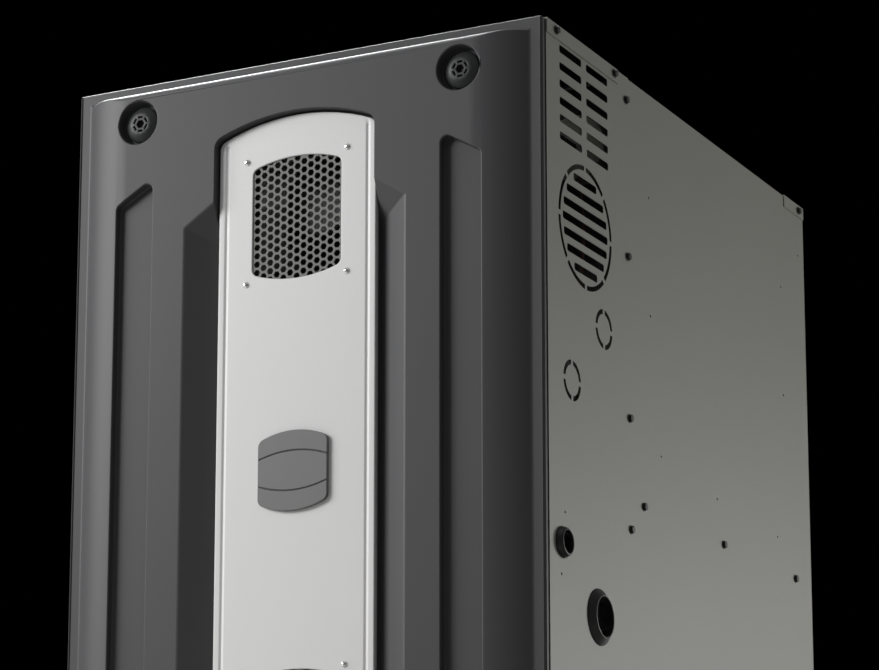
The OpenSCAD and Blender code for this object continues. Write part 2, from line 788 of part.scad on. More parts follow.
// One forward curved blade, drawn across the wheel
module blade_2d() {
    bow = blade_depth * blade_curve_share;
    chord = blade_depth / 2;
    r = (chord * chord + bow * bow) / (2 * bow);
    half = asin(chord / r);
    translate([wheel_r - chord - blade_t, bow - r]) polygon(concat(
        arc(r, 90 + half, 90 - half, 6), arc(r - blade_t, 90 - half, 90 + half, 6)));
}
module blower_wheel() {
    color("#a9aba8") translate([0, blower_y, blower_z]) {
        rotate([0, 90, 0]) linear_extrude(wheel_w, center = true)
            for (i = [0:blade_count - 1]) rotate(i * 360 / blade_count) blade_2d();
        for (s = [-1, 1]) difference() {
            rod_x(wheel_r, s * wheel_w / 2 - (s + 1) / 2 * wheel_ring[1],
                s * wheel_w / 2 + (1 - s) / 2 * wheel_ring[1]);
            rod_x(wheel_r - wheel_ring[0], -wheel_w, wheel_w);
        }
        difference() {
            union() {
                rod_x(wheel_r - wheel_ring[0] / 2, -disc_t, 0);
                rod_x(hub_r, -hub_l, 0);
            }
            rod_x(shaft_d / 2 + running, -hub_l - cut, cut);
        }
    }
}
module blower_shaft() {
    color("#c7c9cb") translate([0, blower_y, blower_z])
        rod_x(shaft_d / 2, -hub_l - arm_t, motor_start + shaft_in);
}
module blower_motor() {
    r = motor_d / 2;
    color("#34363a") translate([motor_start, blower_y, blower_z]) difference() {
        rotate([0, 90, 0]) rotate_extrude() polygon(concat([[0, 0]],
            shift(arc(motor_edge, -90, 0, 6), [r - motor_edge, motor_edge]),
            shift(arc(motor_edge, 0, 90, 6), [r - motor_edge, motor_l - motor_edge]), [[0, motor_l]]));
        rod_x(shaft_d / 2 + running, -cut, shaft_in + clear);
    }
}
// A belly band round the motor, with three arms bolted to the housing round its right inlet
module motor_arms() {
    r = motor_d / 2 + seat;
    plate = housing_w / 2 + seat;
    color("#8b8d88") translate([0, blower_y, blower_z]) difference() {
        union() {
            rod_x(r + band_t, plate - band_w + arm_t, plate + arm_t);
            for (a = [90, 210, 330]) rotate([a, 0, 0])
                span([plate, -arm_w / 2, r], [plate + arm_t, arm_w / 2, eye_r + arm_reach]);
        }
        rod_x(r, plate - band_w, plate + arm_t + cut);
    }
}

// Small sizes of the controls
tray_half = 112;
tray_drop = 48;
tray_h = 130;
tray_high = deck_z - tray_drop;
tray_low = tray_high - tray_h;
tray_d = 14;
board_gap = 10;
board_margin = 8;
board_t = 1.6;
post_r = 3;
chip_d = 14;
transformer_w = 58;
transformer_h = 56;
transformer_d = 44;
coil_r = 16;
transformer_gap = 40;
transformer_up = 22;
transformer_x = tray_half + transformer_gap;
transformer_z = tray_low + transformer_up;
door_switch_up = 16;
door_switch_z = deck_z + door_switch_up;
door_switch_size = [20, 30, 28];
door_switch_in = 14;
relay_share = 1.6;
capacitor_share = 1.4;
plunger_r = 3.5;
plunger_in = 12;
plunger_bore = 18;
plunger_gap = 0.5;
limit_up = 112;
limit_place = [0, burner_z + limit_up];
limit_bore = 8;
limit_r = 15;
limit_t = 10;
limit_probe = 24;

module control_tray() {
    color("#9a9c97") difference() {
        span([-tray_half, y_vest - tray_d, tray_low], [tray_half, y_vest, tray_high]);
        span([-tray_half + sheet, y_vest - tray_d - cut, tray_low + sheet],
            [tray_half - sheet, y_vest - sheet, tray_high - sheet]);
    }
}
// The control board on four posts, with relays, a capacitor and a row of terminals
module control_board() {
    board_y = y_vest - sheet - board_gap;
    x = tray_half - board_margin;
    low = tray_low + board_margin;
    high = tray_high - board_margin;
    color("#2f6b3e") {
        span([-x, board_y - board_t, low], [x, board_y, high]);
        for (sx = [-1, 1], z = [low + board_margin, high - board_margin])
            translate([sx * (x - board_margin), 0, z]) rod_y(post_r, board_y - cut, y_vest - sheet);
        for (i = [0:3])
            translate([-x + board_margin + i * 2 * chip_d, board_y - board_t, low + 2 * board_margin])
                span([0, -chip_d, 0], [chip_d * relay_share, cut, chip_d * relay_share]);
        translate([x - 3 * board_margin, board_y - board_t, high - 3 * board_margin]) 
            rod_y(chip_d / 2, -chip_d * capacitor_share, cut);
        span([-x + board_margin, board_y - board_t - chip_d / 2, high - 2 * board_margin],
            [x - 6 * board_margin, board_y - board_t + cut, high - board_margin]);
    }
}
module transformer() {
    color("#4a4c50") translate([transformer_x, y_vest, transformer_z]) {
        span([-transformer_w / 2, -transformer_d, -transformer_h / 4], [transformer_w / 2, 0, transformer_h / 4]);
        translate([0, -transformer_d / 2, 0]) rod_z(coil_r, -transformer_h / 2, transformer_h / 2);
    }
}
module door_switch() {
    x = -inner_w + door_switch_in;
    y = y_front + 2 * sheet;
    color("#26272a") translate([0, 0, door_switch_z]) difference() {
        union() {
            span([x, y, -door_switch_size[2] / 2],
                [x + door_switch_size[0], y + door_switch_size[1], door_switch_size[2] / 2]);
            span([-inner_w, y + door_switch_size[1], -door_switch_size[2] / 2],
                [x + door_switch_size[0], y + door_switch_size[1] + 2 * sheet, door_switch_size[2] / 2]);
        }
        translate([x + door_switch_size[0] / 2, y, 0]) rod_y(plunger_r + running, -cut, plunger_bore);
    }
}
module door_switch_plunger() {
    x = -inner_w + door_switch_in + door_switch_size[0] / 2;
    color("#e0ddd2") translate([x, 0, door_switch_z]) rod_y(plunger_r, door_back + plunger_gap,
        y_front + 2 * sheet + plunger_in);
}
module limit_switch() {
    color("#2b2c30") translate([limit_place[0], y_vest, limit_place[1]]) {
        rod_y(limit_r, -limit_t, 0);
        rod_y(limit_bore - seat, -cut, limit_probe);
    }
}

grommet_round_share = 0.6;

// Grommets stand out of the side panels; a neck passes through the sheet
module grommet(place, d, bore, lip) {
    neck_r = d / 2 - lip - seat;
    round_r = grommet_out * grommet_round_share;
    translate([half_w, border_y + place[0], place[1]]) difference() {
        union() {
            rotate([0, 90, 0]) rotate_extrude() polygon(concat([[bore / 2, 0], [d / 2, 0]],
                shift(arc(round_r, 0, 90, 5), [d / 2 - round_r, grommet_out - round_r]),
                [[bore / 2, grommet_out]]));
            rod_x(neck_r, -sheet - seat, cut);
            rod_x(neck_r + lip / 2, -sheet - seat - grommet_hidden, -sheet - seat);
        }
        rod_x(bore / 2, -half_w, half_w);
    }
}
module gas_grommets() {
    color("#1d1d1e") both_sides() grommet(gas_place, gas_grommet_d, gas_hole_d, gas_lip);
}
module wire_grommets() {
    color("#1d1d1e") both_sides() grommet(wire_place, wire_grommet_d, wire_hole_d, wire_lip);
}

screw_head = [3.9, 3.4];
screw_flange = [4.6, 0.8];
cover_screw_drop = 7;
cover_screw_front = 29.7;
cover_screw_in = 9.8;
rail_screw_in = 16.6;
cover_screws = [for (y = [cover_screw_front, y_front - border_y + top_cover_d - cover_screw_in,
    y_back - border_y - rail_screw_in]) [y, cabinet_h - cover_screw_drop]];
// Hex washer head sheet metal screws of the side panels
module side_screw(out) {
    translate([half_w + out, 0, 0]) {
        rod_x(screw_flange[0], 0, screw_flange[1]);
        rotate([0, 90, 0]) cylinder(r = screw_head[0], h = screw_head[1], $fn = 6);
        rod_x(screw_hole_r - seat, -3 * sheet, cut / 2);
    }
}
module cabinet_screws() {
    color("#6f706a") both_sides() {
        for (p = screw_places) translate([0, border_y + p[0], p[1]]) side_screw(0);
        for (y = deck_screws) translate([0, border_y + y, deck_z - deck_screw_drop]) side_screw(0);
        for (p = cover_screws) translate([0, border_y + p[0], p[1]]) side_screw(sheet);
    }
}

// Small sizes of the door
door_inset = 0.6;
edge_r = 1.5;
flank_steps = 10;
channel_run = 40;
channel_angle = 33;
channel_drop = 168.6;
channel_top_z = cabinet_h - channel_drop;
mid_z = cabinet_h / 2;
pocket_off = 60.5;
pocket_x = channel_half + pocket_off;
pocket_drop = 110;
pocket_top_z = cabinet_h - pocket_drop;
pocket_slant = 25;
pocket_r = 7;
recess_gap = 2;
strip_rise = 19;
strip_r = 10;
window_up = 260.5;
window_rise = 9;
window_r = 8;
window_margin = 2;
knob_pocket_depth = 12;
knob_shank_r = 8;
boss_w = 3;
gasket_w = 10;
gasket_out = 0.3;
screw_x = 57.3;
screw_up = [196.4, 324.6];
strip_screw_r = 2;
door_half = half_w - door_inset;
door_top = cabinet_h - door_inset;
bulge_half = half_w - border_w;
strip_y = face_y + strip_drop;
land_y = strip_y + strip_edge;
backer_y = face_y + channel_depth + door_wall + seat;
receptacle_bore = 10;

function unit(v) = v / norm(v);
// The arc that rounds corner p between its neighbours a and b
function corner(p, a, b, r, n = 5) = let (u = unit(a - p), v = unit(b - p), half = acos(u * v) / 2,
    c = p + unit(u + v) * r / sin(half), s = p + u * r / tan(half) - c, e = p + v * r / tan(half) - c,
    from = atan2(s[1], s[0]), turn = (atan2(e[1], e[0]) - from + 540) % 360 - 180)
    [for (i = [0:n]) c + r * [cos(from + turn * i / n), sin(from + turn * i / n)]];
function rounded(pts, r) = let (n = len(pts)) [for (i = [0:n - 1])
    each corner(pts[i], pts[(i + n - 1) % n], pts[(i + 1) % n], r)];
// An upright plate outline whose top and bottom are shallow arches, with rounded corners
function arched(w, h, rise, r, n = 12) = let (big = (w * w / 4 + rise * rise) / (2 * rise),
    half = asin(w / 2 / big), top = [for (i = [0:n]) let (a = -half + 2 * half * i / n)
        [big * sin(a), h / 2 - big + big * cos(a)]],
    low = [for (i = [n:-1:0]) [top[i][0], -top[i][1]]], all = concat(top, low), m = len(all))
    [for (i = [0:m - 1]) each (i == 0 || i == n || i == n + 1 || i == m - 1)
        ? corner(all[i], all[(i + m - 1) % m], all[(i + 1) % m], r) : [all[i]]];

// The door's bulge: a plan profile with curved flanks, cut to a side profile with rounded ends
module bulge(inset, back) {
    r = (flank_w * flank_w + bulge_h * bulge_h) / (2 * bulge_h) - inset;
    end = acos((r - bulge_h + inset) / r);
    flank = [for (i = [0:flank_steps]) let (a = end * i / flank_steps)
        [bulge_half - flank_w + r * sin(a), face_y + inset + r * (1 - cos(a))]];
    low = door_foot + border_w + inset;
    high = cabinet_h - border_w - inset;
    round_r = mould_r - inset;
    y = face_y + inset;
    intersection() {
        translate([0, 0, low]) linear_extrude(high - low)
            polygon(concat(flank, [[flank[flank_steps][0], back], [-flank[flank_steps][0], back]],
                flip(flank)));
        translate([-half_w, 0, 0]) plate_x(cabinet_w) polygon(concat(
            shift(arc(round_r, 180, 270, 6), [y + round_r, low + round_r]), [[back, low], [back, high]],
            shift(arc(round_r, 90, 180, 6), [y + round_r, high - round_r])));
    }
}
module side_pocket_cut(grow) {
    x = [pocket_x - pocket_w / 2 - grow, pocket_x + pocket_w / 2 + grow];
    low = door_foot + cabinet_h - pocket_top_z - grow;
    high = pocket_top_z + grow;
    both_sides() translate([0, face_y - cut, 0]) plate_y(pocket_depth + grow + cut) polygon(rounded([
        [x[0], low], [x[1], low + pocket_slant], [x[1], high - pocket_slant], [x[0], high]], pocket_r + grow));
}
module below_hip(grow) {
    slope = atan(channel_run / channel_depth);
    peak = channel_top_z + (channel_half + grow) * tan(channel_angle) + grow;
    translate([0, face_y, peak]) rotate([0, channel_angle, 0]) rotate([-slope, 0, 0])
        span([-cabinet_h, -cabinet_h, -2 * cabinet_h], [cabinet_h, cabinet_h, 0]);
}
// The long central channel: sloping sides, and hipped ends that rise to the middle
module channel_cut(grow) {
    k = channel_run / channel_depth;
    depth = channel_depth + grow;
    intersection() {
        linear_extrude(cabinet_h) polygon([
            [-channel_half - grow - cut * k, face_y - cut], [channel_half + grow + cut * k, face_y - cut],
            [channel_half + grow - depth * k, face_y + depth],
            [-channel_half - grow + depth * k, face_y + depth]]);
        below_hip(grow);
        mirror([1, 0, 0]) below_hip(grow);
        translate([0, 0, 2 * mid_z]) mirror([0, 0, 1]) {
            intersection() {
                below_hip(grow);
                mirror([1, 0, 0]) below_hip(grow);
            }
        }
    }
}
module strip_outline(grow) {
    polygon(arched(strip_w + 2 * grow, strip_h + 2 * grow, strip_rise, strip_r + grow));
}
module window_outline(grow) {
    polygon(arched(window_w + 2 * grow, window_h + 2 * grow, window_rise, window_r));
}
module recess_cut(grow) {
    translate([0, face_y - cut, mid_z]) plate_y(strip_drop + strip_edge + cut + grow)
        strip_outline(recess_gap + grow);
}
module at_windows() { for (s = [-1, 1]) translate([0, 0, mid_z + s * window_up]) children(); }
module at_strip_screws() {
    for (x = [-1, 1], z = [-1, 1], up = screw_up)
        translate([x * screw_x, 0, mid_z + z * up]) children();
}
module at_knobs() { for (x = [-1, 1]) translate([x * knob_x, 0, knob_z]) children(); }

// The moulded door: rim, bulge, pockets, channel and the raised land that the strip sits on
module door_shell() {
    color("#555657") difference() {
        union() {
            translate([0, 0, door_foot]) linear_extrude(door_top - door_foot) polygon(concat(
                shift(arc(edge_r, -90, 0, 4), [door_half - edge_r, border_y + edge_r]),
                [[door_half, door_back], [-door_half, door_back]],
                shift(arc(edge_r, 180, 270, 4), [-door_half + edge_r, border_y + edge_r])));
            bulge(0, door_back);
        }
        difference() {
            union() {
                span([-door_half + door_wall, border_y + door_wall, door_foot + door_wall],
                    [door_half - door_wall, door_back + cut, door_top - door_wall]);
                bulge(door_wall, door_back);
            }
            side_pocket_cut(door_wall);
            channel_cut(door_wall);
            recess_cut(door_wall);
            at_knobs() rod_y(knob_pocket_d / 2 + boss_w, face_y, face_y + knob_pocket_depth + door_wall);
        }
        side_pocket_cut(0);
        recess_cut(0);
        difference() {
            channel_cut(0);
            span([-strip_w / 2, land_y, 0], [strip_w / 2, door_back, cabinet_h]);
        }
        at_knobs() {
            rod_y(knob_pocket_d / 2, face_y - cut, face_y + knob_pocket_depth);
            rod_y(knob_shank_r + running, face_y, face_y + knob_pocket_depth + door_wall + cut);
        }
        translate([0, face_y, 0]) at_windows() plate_y(total_d / 2) window_outline(window_margin);
        at_strip_screws() rod_y(strip_screw_r, face_y, backer_y - door_wall);
    }
}
// The flat steel back of the door, inside the gasket
module door_backer() {
    half = door_half - door_wall - gasket_w - clear;
    edge = door_wall + gasket_w + clear;
    color("#8f918c") difference() {
        span([-half, backer_y, door_foot + edge], [half, door_back, door_top - edge]);
        translate([0, face_y, 0]) at_windows() plate_y(total_d / 2) window_outline(window_margin);
        at_knobs() rod_y(receptacle_bore, backer_y - cut, door_back + cut);
    }
}
module door_gasket() {
    half = door_half - door_wall;
    color("#2a2a2b") difference() {
        span([-half, border_y + door_wall, door_foot + door_wall],
            [half, door_back + gasket_out, door_top - door_wall]);
        span([-half + gasket_w, border_y, door_foot + door_wall + gasket_w],
            [half - gasket_w, door_back + cut, door_top - door_wall - gasket_w]);
    }
}
hook_w = 30;
hook_t = 3;
hook_l = 13;
// Two tabs at the foot of the door that enter the base's front rail
module door_hooks() {
    color("#9a9c97") for (x = [-1, 1]) translate([x * hook_x, 0, hook_z])
        span([-hook_w / 2, door_back, -hook_t / 2], [hook_w / 2, y_front + hook_l, hook_t / 2]);
}

bead_x = 9;
bead_r = 1.1;
bead_stop = 24;
grille_t = 1;
grille_margin = 7;
badge_t = 4;
badge_rise = 9;
badge_r = 8;
badge_line = [0.9, 0.5];
badge_arc_up = 20;
badge_arc_rise = 7;

// The bright strip: a shallow tray with a groove along each edge and two grille windows
module centre_strip() {
    color("#cfcfcf") difference() {
        translate([0, strip_y, mid_z]) plate_y(strip_edge) strip_outline(0);
        translate([0, strip_y + strip_t, mid_z]) plate_y(strip_edge) strip_outline(-strip_t);
        translate([0, strip_y - cut, 0]) at_windows() plate_y(strip_t + 2 * cut) window_outline(0);
        at_strip_screws() rod_y(strip_screw_r, strip_y - cut, strip_y + strip_t + cut);
        both_sides() translate([strip_w / 2 - bead_x, strip_y, 0])
            rod_z(bead_r, mid_z - strip_h / 2 + bead_stop, mid_z + strip_h / 2 - bead_stop);
    }
}
// A sheet with honeycomb holes that run past the edge of its window
module grille(s) {
    row = hole_pitch / cos(30);
    cols = ceil((window_w / 2 + hole_pitch / 2) / hole_pitch);
    rows = ceil((window_h / 2 + row / 2) / row);
    color("#5a5a58") translate([0, strip_y + strip_t, mid_z + s * window_up]) plate_y(grille_t) difference() {
        window_outline(grille_margin);
        for (i = [-cols:cols], j = [-rows:rows]) let (x = i * hole_pitch,
            z = (j + (i % 2 == 0 ? 0 : 0.5)) * row,
            limit = window_h / 2 - window_rise * pow(2 * x / window_w, 2) + row / 4)
            if (abs(x) < window_w / 2 + hole_pitch / 4 && abs(z) < limit) translate([x, z])
                circle(d = hole_d, $fn = 6);
    }
}
module upper_grille() { grille(1); }
module lower_grille() { grille(-1); }
// The badge is a bare arched plate with two engraved arcs
module badge() {
    color("#787879") translate([0, strip_y - badge_t, mid_z]) difference() {
        plate_y(badge_t) polygon(arched(badge_w, badge_h, badge_rise, badge_r));
        r = (badge_w * badge_w / 4 + badge_arc_rise * badge_arc_rise) / (2 * badge_arc_rise);
        for (s = [-1, 1])
            translate([0, -cut, s * (badge_arc_up - r)]) plate_y(badge_line[1] + cut) intersection() {
                difference() {
                    circle(r + badge_line[0] / 2);
                    circle(r - badge_line[0] / 2);
                }
                translate([0, s * r]) square([badge_w + cut, badge_h], center = true);
            }
    }
}
dome_r = 3.4;
dome_h = 2.4;
dome_shank = 8;
module strip_screws() {
    big = (dome_r * dome_r + dome_h * dome_h) / (2 * dome_h);
    color("#e4e4e4") at_strip_screws() translate([0, strip_y, 0]) {
        intersection() {
            translate([0, big - dome_h, 0]) sphere(big);
            rod_y(dome_r, -dome_h - cut, 0);
        }
        rod_y(strip_screw_r - seat, -cut / 2, dome_shank);
    }
}

knob_h = 6.5;
knob_edge = 0.8;
knob_edge_h = 2.5;
hex_floor = 2;
knob_hub_r = 11;
knob_hex_d = 9;
knob_slot = [4.6, 1.9];
knob_slot_r = 8.4;
knob_slot_d = 2.5;
stud_tip = 17;
pin_half = 8;
cross_pin_r = 1.6;
receptacle_wall = 3;
receptacle_d = 16;
// A latch knob: a cone with a flat hub, six slots and a hexagon socket, in a round pocket of the door
module knob() {
    floor_y = face_y + knob_pocket_depth;
    r = knob_d / 2;
    color("#3d3e3f") translate([0, floor_y - clear, 0]) difference() {
        union() {
            rotate([90, 0, 0]) rotate_extrude() polygon([[0, 0], [r, 0], [r, knob_edge_h],
                [r - knob_edge, knob_edge_h + knob_edge], [knob_hub_r, knob_h], [0, knob_h]]);
            rod_y(knob_shank_r, -cut, clear + door_wall);
        }
        translate([0, -knob_h, 0]) rotate([-90, 0, 0]) cylinder(d = knob_hex_d, h = knob_h - hex_floor, $fn = 6);
        for (a = [0:60:300]) rotate([0, a, 0]) translate([0, -knob_h, knob_slot_r])
            span([-knob_slot[0] / 2, -cut, -knob_slot[1] / 2],
                [knob_slot[0] / 2, knob_slot_d, knob_slot[1] / 2]);
    }
}
// A quarter-turn stud with its cross pin
module latch_stud() {
    start = face_y + knob_pocket_depth + door_wall;
    color("#c2c4c6") {
        rod_y(stud_d / 2, start, y_front + stud_tip);
        translate([0, y_front + stud_tip - 3 * cross_pin_r, 0]) rod_x(cross_pin_r, -pin_half, pin_half);
    }
}
module right_knob() { translate([knob_x, 0, knob_z]) knob(); }
module left_knob() { translate([-knob_x, 0, knob_z]) knob(); }
module right_latch_stud() { translate([knob_x, 0, knob_z]) latch_stud(); }
module left_latch_stud() { translate([-knob_x, 0, knob_z]) latch_stud(); }
// Cups behind the header that take the studs
module latch_receptacles() {
    color("#9a9c97") at_knobs() tube_y(receptacle_bore + receptacle_wall, receptacle_bore,
        y_front + sheet, y_front + sheet + receptacle_d);
}

module left_reset_button() { reset_button(-1); }
module right_reset_button() { reset_button(1); }
module heat_cell_1() { heat_cell(0); }
module heat_cell_2() { heat_cell(1); }
module heat_cell_3() { heat_cell(2); }
module heat_cell_4() { heat_cell(3); }

left_side_panel();
right_side_panel();
back_panel();
base_pan();
top_cover();
rear_top_rail();
blower_deck();
vestibule_panel();
blower_door();
door_shell();
door_backer();
door_gasket();
door_hooks();
centre_strip();
upper_grille();
lower_grille();
badge();
strip_screws();
left_knob();
right_knob();
left_latch_stud();
right_latch_stud();
latch_receptacles();
gas_grommets();
wire_grommets();
cabinet_screws();
heat_cell_1();
heat_cell_2();
heat_cell_3();
heat_cell_4();
collector_box();
burners();
burner_rack();
gas_manifold();
gas_valve();
gas_valve_knob();
igniter();
flame_sensor();
rollout_switches();
left_reset_button();
right_reset_button();
inducer_housing();
inducer_wheel();
inducer_motor();
flue_collar();
pressure_switch();
pressure_hose();
blower_housing();
blower_wheel();
blower_shaft();
blower_motor();
motor_arms();
control_tray();
control_board();
transformer();
door_switch();
door_switch_plunger();
limit_switch();
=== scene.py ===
# Forced air gas furnace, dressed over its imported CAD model.
# Everything is in metres in the CAD's frame: X to the right, Y to the back, Z up, origin on the floor.
import math

import bmesh
import bpy
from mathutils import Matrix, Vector


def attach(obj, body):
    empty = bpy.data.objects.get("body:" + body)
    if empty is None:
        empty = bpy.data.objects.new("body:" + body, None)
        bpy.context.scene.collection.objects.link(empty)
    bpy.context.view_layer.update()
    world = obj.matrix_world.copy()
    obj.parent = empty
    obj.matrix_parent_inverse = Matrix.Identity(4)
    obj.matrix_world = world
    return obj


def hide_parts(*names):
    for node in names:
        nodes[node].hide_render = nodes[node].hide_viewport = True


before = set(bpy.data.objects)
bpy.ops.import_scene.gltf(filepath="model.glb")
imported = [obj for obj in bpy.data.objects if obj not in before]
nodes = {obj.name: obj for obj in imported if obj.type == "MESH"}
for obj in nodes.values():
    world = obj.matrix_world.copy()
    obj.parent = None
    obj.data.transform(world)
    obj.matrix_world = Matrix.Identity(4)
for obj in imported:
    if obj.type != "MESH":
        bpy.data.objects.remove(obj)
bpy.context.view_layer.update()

# Camera and light.
# A long lens looks up from low at the front right corner, as the photographer did, and is shifted upwards
# to keep the uprights nearly upright.
# The ground behind is black to the camera, and every other ray meets an even grey sky.
LENS_PIXELS = 3292.6
PICTURE_WIDTH = 879
LENS_SHIFT = 0.1756
SENSOR_MM = 36
CAMERA_PLACE = (1.5526, -3.0982, -0.2879)
CAMERA_YAW = math.radians(26.93)
CAMERA_PITCH = math.radians(12.556)

scene = bpy.context.scene
scene.view_settings.view_transform = "Standard"
camera_data = bpy.data.cameras.new("camera")
camera_data.sensor_width = SENSOR_MM
camera_data.lens = SENSOR_MM * LENS_PIXELS / PICTURE_WIDTH
camera_data.shift_y = LENS_SHIFT
camera = bpy.data.objects.new("camera", camera_data)
camera.location = CAMERA_PLACE
looking = Vector((-math.sin(CAMERA_YAW) * math.cos(CAMERA_PITCH),
                  math.cos(CAMERA_YAW) * math.cos(CAMERA_PITCH), math.sin(CAMERA_PITCH)))
camera.rotation_euler = looking.to_track_quat("-Z", "Y").to_euler()
scene.collection.objects.link(camera)
scene.camera = camera


def add(tree, kind, inputs=None, **settings):
    """Adds a node with its settings, and gives each input a value or a link."""
    made = tree.nodes.new(kind)
    for name, value in settings.items():
        setattr(made, name, value)
    for name, value in (inputs or {}).items():
        if isinstance(value, bpy.types.NodeSocket):
            tree.links.new(value, made.inputs[name])
        else:
            made.inputs[name].default_value = value
    return made


SKY_GREY = 0.15
world = bpy.data.worlds.new("studio")
scene.world = world
world.use_nodes = True
sky = world.node_tree
seen = add(sky, "ShaderNodeLightPath").outputs["Is Camera Ray"]
shown = add(sky, "ShaderNodeMix", {"Factor": seen, "A": SKY_GREY, "B": 0.0}, data_type="FLOAT")
sky.links.new(shown.outputs["Result"], sky.nodes["Background"].inputs["Strength"])
sky.nodes["Background"].inputs["Color"].default_value = (1, 1, 1, 1)


def softbox(name, place, aim, width, height, watts, spread=180):
    """A rectangular studio lamp aimed at a point of the furnace. A spread below 180 narrows its beam."""
    lamp = bpy.data.lights.new(name, "AREA")
    lamp.shape = "RECTANGLE"
    lamp.size = width
    lamp.size_y = height
    lamp.energy = watts
    lamp.spread = math.radians(spread)
    holder = bpy.data.objects.new(name, lamp)
    holder.location = place
    holder.rotation_euler = (Vector(aim) - Vector(place)).to_track_quat("-Z", "Y").to_euler()
    scene.collection.objects.link(holder)


# Two large boxes on the left model the door, and one close above it draws the bright line on its top edge
DOOR_MIDDLE = (0, -0.35, 0.6)
softbox("left_key", (-4.0, -2.2, 1.9), DOOR_MIDDLE, width=1.6, height=2.0, watts=80)
softbox("left_front", (-3.0, -3.1, 2.3), DOOR_MIDDLE, width=1.6, height=1.6, watts=104)
softbox("top_left", (-1.05, 0.3, 2.2), (-0.1, -0.36, 0.85), width=1.1, height=0.9, watts=75)
softbox("top_fill", (0.4, -1.2, 3.2), (0, 0, 0.5), width=2.4, height=2.4, watts=6)
# The right side is lit from the rear, so it darkens towards the door
softbox("right_rear", (2.3, 2.3, 0.55), (0.27, 0.3, 0.26), width=0.9, height=0.5, watts=2.8, spread=50)
softbox("right_fill", (3.8, 2.0, 1.0), (0.27, 0, 0.5), width=2.0, height=1.6, watts=17)
softbox("back_rim", (-1.6, 3.2, 2.6), (0, 0, 0.8), width=2.0, height=1.2, watts=70)

# Floor.
# A pale painted studio floor. It stops in front of the furnace, because the camera sits lower than it.
FLOOR_REACH = 6.0
FLOOR_FRONT = 1.3
MM = 0.001


def linear(code):
    """An sRGB hex colour as linear red, green, blue and alpha."""
    parts = [int(code[i:i + 2], 16) / 255 for i in (1, 3, 5)]
    return [p / 12.92 if p <= 0.04045 else ((p + 0.055) / 1.055) ** 2.4 for p in parts] + [1]


def surface(name, colour, rough, metal=0.0, patch_mm=90, patch=0.06, grain_mm=0.8, grain=0.04,
            rough_spread=0.06, specular=0.5):
    """A finish with broad patches of tone, a fine relief, and a gloss that varies with the relief.

    patch_mm and grain_mm are sizes across, patch is a share of the tone, and grain a height in millimetres.
    Real grains are finer than most of these, which are drawn as coarse as they need to be to show.
    """
    made = bpy.data.materials.new(name)
    made.use_nodes = True
    tree = made.node_tree
    shader = tree.nodes["Principled BSDF"]
    place = add(tree, "ShaderNodeTexCoord").outputs["Object"]
    broad = {"Vector": place, "Scale": 1 / (patch_mm * MM), "Detail": 5.0}
    patches = add(tree, "ShaderNodeTexNoise", broad).outputs["Fac"]
    narrow = {"Vector": place, "Scale": 1 / (grain_mm * MM), "Detail": 3.0}
    grains = add(tree, "ShaderNodeTexNoise", narrow).outputs["Fac"]
    base = linear(colour)[:3]
    dark = [c * (1 - patch) for c in base] + [1]
    light = [min(1, c * (1 + patch)) for c in base] + [1]
    tone = add(tree, "ShaderNodeMix", {"A": dark, "B": light, "Factor": patches}, data_type="RGBA")
    tree.links.new(tone.outputs["Result"], shader.inputs["Base Color"])
    gloss = add(tree, "ShaderNodeMapRange", {"Value": grains, "To Min": rough - rough_spread,
                                             "To Max": rough + rough_spread})
    tree.links.new(gloss.outputs["Result"], shader.inputs["Roughness"])
    relief = add(tree, "ShaderNodeBump", {"Height": grains, "Strength": 1.0, "Distance": grain * MM})
    tree.links.new(relief.outputs["Normal"], shader.inputs["Normal"])
    shader.inputs["Metallic"].default_value = metal
    shader.inputs["Specular IOR Level"].default_value = specular
    return made


floor_bm = bmesh.new()
bmesh.ops.create_grid(floor_bm, x_segments=1, y_segments=1, size=FLOOR_REACH)
bmesh.ops.bisect_plane(floor_bm, geom=floor_bm.verts[:] + floor_bm.edges[:] + floor_bm.faces[:],
                       plane_co=(looking.x * FLOOR_FRONT, -FLOOR_FRONT, 0),
                       plane_no=(-looking.x, -looking.y, 0), clear_outer=True)
floor_mesh = bpy.data.meshes.new("floor")
floor_bm.to_mesh(floor_mesh)
floor_bm.free()
# Matt floor paint, even and without a shine, so that only the furnace's shadow shows on it
floor_mesh.materials.append(surface("painted_floor", "#A9A8A4", rough=0.6, patch=0.02, grain=0.02))
floor = bpy.data.objects.new("floor", floor_mesh)
scene.collection.objects.link(floor)

# Cabinet sides, back and top.
# Sheet steel, punched and folded, and screwed together at its flanges. The openings keep their punched edges.
# It has a powder coat in olive grey outside. Its inner faces are painted near black as painted shade, so the
# openings look dark.
PANEL_HALF = max(v.co.x for v in nodes["right_side_panel"].data.vertices)
PANEL_TOP = max(v.co.z for v in nodes["right_side_panel"].data.vertices)
BACK = max(v.co.y for v in nodes["back_panel"].data.vertices)
# An outer face lies within a hair of these, and an inner face lies deeper by the sheet's thickness
HAIR = 0.4 * MM
# Corners nearer to each other than this are one corner
WELD = 0.01 * MM
EASED_ANGLE = math.radians(35)


